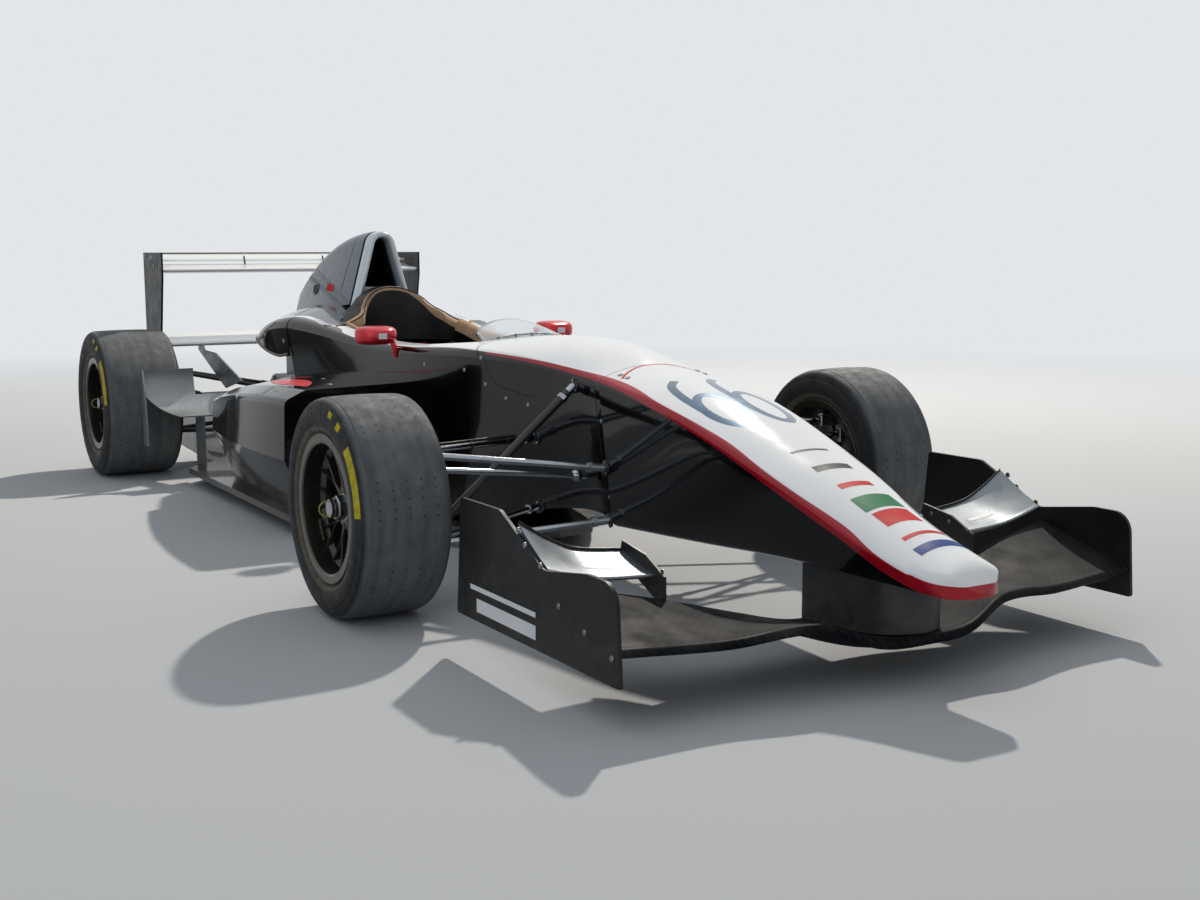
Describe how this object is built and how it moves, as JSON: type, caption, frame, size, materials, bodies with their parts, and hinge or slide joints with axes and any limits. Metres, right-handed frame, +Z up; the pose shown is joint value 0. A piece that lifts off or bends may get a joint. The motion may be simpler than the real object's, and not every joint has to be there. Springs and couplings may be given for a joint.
{
  "type": "open wheel racing car",
  "caption": "Single seat open wheel racing car with slick tyres, wings at nose and tail, roll hoop and open cockpit",
  "frame": {"origin": "on the ground, half way along and across the car", "axes": "+X forward, +Y to the car's left, +Z up"},
  "size_m": [4.27, 1.7408, 0.955],
  "materials": {
    "gloss_black": "gloss",
    "white_paint": "gloss",
    "silver_paint": "gloss",
    "satin_black": "satin",
    "carbon": "gloss",
    "bright_carbon": "gloss",
    "red_paint": "gloss",
    "tyre": "matte",
    "rim": "satin",
    "steel": "satin",
    "chrome": "polished",
    "aluminium": "machined",
    "clear": "clear",
    "padding": "matte",
    "lamp_red": "clear",
    "cast": "cast"
  },
  "bodies": {
    "chassis": {"monocoque": "gloss_black", "nose_cone": "white_paint", "nose_pylon": "satin_black", "front_wing_main": "carbon", "front_flaps": "bright_carbon", "flap_supports": "satin_black", "front_endplates": "satin_black", "windscreen": "clear", "headrest": "padding", "seat": "carbon", "roll_hoop": "silver_paint", "hoop_cowl": "silver_paint", "engine_cover": "gloss_black", "sidepod_left": "gloss_black", "sidepod_right": "gloss_black", "radiators": "aluminium", "floor": "carbon", "tyre_ramps": "bright_carbon", "wing_stays": "aluminium", "beam_wing": "white_paint", "rear_wing_main": "white_paint", "rear_wing_flap": "white_paint", "rear_endplates": "gloss_black", "engine": "cast", "gearbox": "aluminium", "tail_light": "lamp_red", "mirrors": "red_paint", "front_wishbones": "chrome", "rear_wishbones": "satin_black", "rear_uprights": "aluminium"},
    "knuckle_left": {"knuckle_left": "aluminium"},
    "knuckle_right": {"knuckle_right": "aluminium"},
    "front_wheel_left": {"front_rim_left": "rim", "front_tyre_left": "tyre"},
    "front_wheel_right": {"front_rim_right": "rim", "front_tyre_right": "tyre"},
    "rear_wheel_left": {"rear_rim_left": "rim", "rear_tyre_left": "tyre", "driveshaft_left": "steel"},
    "rear_wheel_right": {"rear_rim_right": "rim", "rear_tyre_right": "tyre", "driveshaft_right": "steel"},
    "track_rods": {"track_rods": "chrome"},
    "steering_wheel": {"steering_wheel": "satin_black"}
  },
  "joints": [
    {"name": "steer_left", "type": "hinge", "parent": "chassis", "child": "knuckle_left", "pos_m": [0.835, 0.659, 0.27], "axis": [0, 0, 1], "range_deg": [-18, 18]},
    {"name": "steer_right", "type": "hinge", "parent": "chassis", "child": "knuckle_right", "pos_m": [0.835, -0.659, 0.27], "axis": [0, 0, 1], "range_deg": [-18, 18]},
    {"name": "rack_slide", "type": "slide", "parent": "chassis", "child": "track_rods", "axis": [0, 1, 0], "range_m": [-0.027, 0.027]},
    {"name": "steering_wheel_turn", "type": "hinge", "parent": "chassis", "child": "steering_wheel", "pos_m": [0.005, 0, 0.455], "axis": [-0.9272, 0, 0.3746], "range_deg": [-180, 180]},
    {"name": "front_spin_left", "type": "hinge", "parent": "knuckle_left", "child": "front_wheel_left", "pos_m": [0.835, 0.751, 0.27], "axis": [0, 1, 0], "continuous": true},
    {"name": "front_spin_right", "type": "hinge", "parent": "knuckle_right", "child": "front_wheel_right", "pos_m": [0.835, -0.751, 0.27], "axis": [0, 1, 0], "continuous": true},
    {"name": "rear_spin_left", "type": "hinge", "parent": "chassis", "child": "rear_wheel_left", "pos_m": [-1.81, 0.72, 0.2875], "axis": [0, 1, 0], "continuous": true},
    {"name": "rear_spin_right", "type": "hinge", "parent": "chassis", "child": "rear_wheel_right", "pos_m": [-1.81, -0.72, 0.2875], "axis": [0, 1, 0], "continuous": true}
  ],
  "couplings": [
    {"joint": "steer_right", "follows": "steer_left", "ratio": 1},
    {"joint": "rack_slide", "follows": "steer_left", "m_per_rad": 0.085},
    {"joint": "steering_wheel_turn", "follows": "steer_left", "ratio": 10}
  ]
}
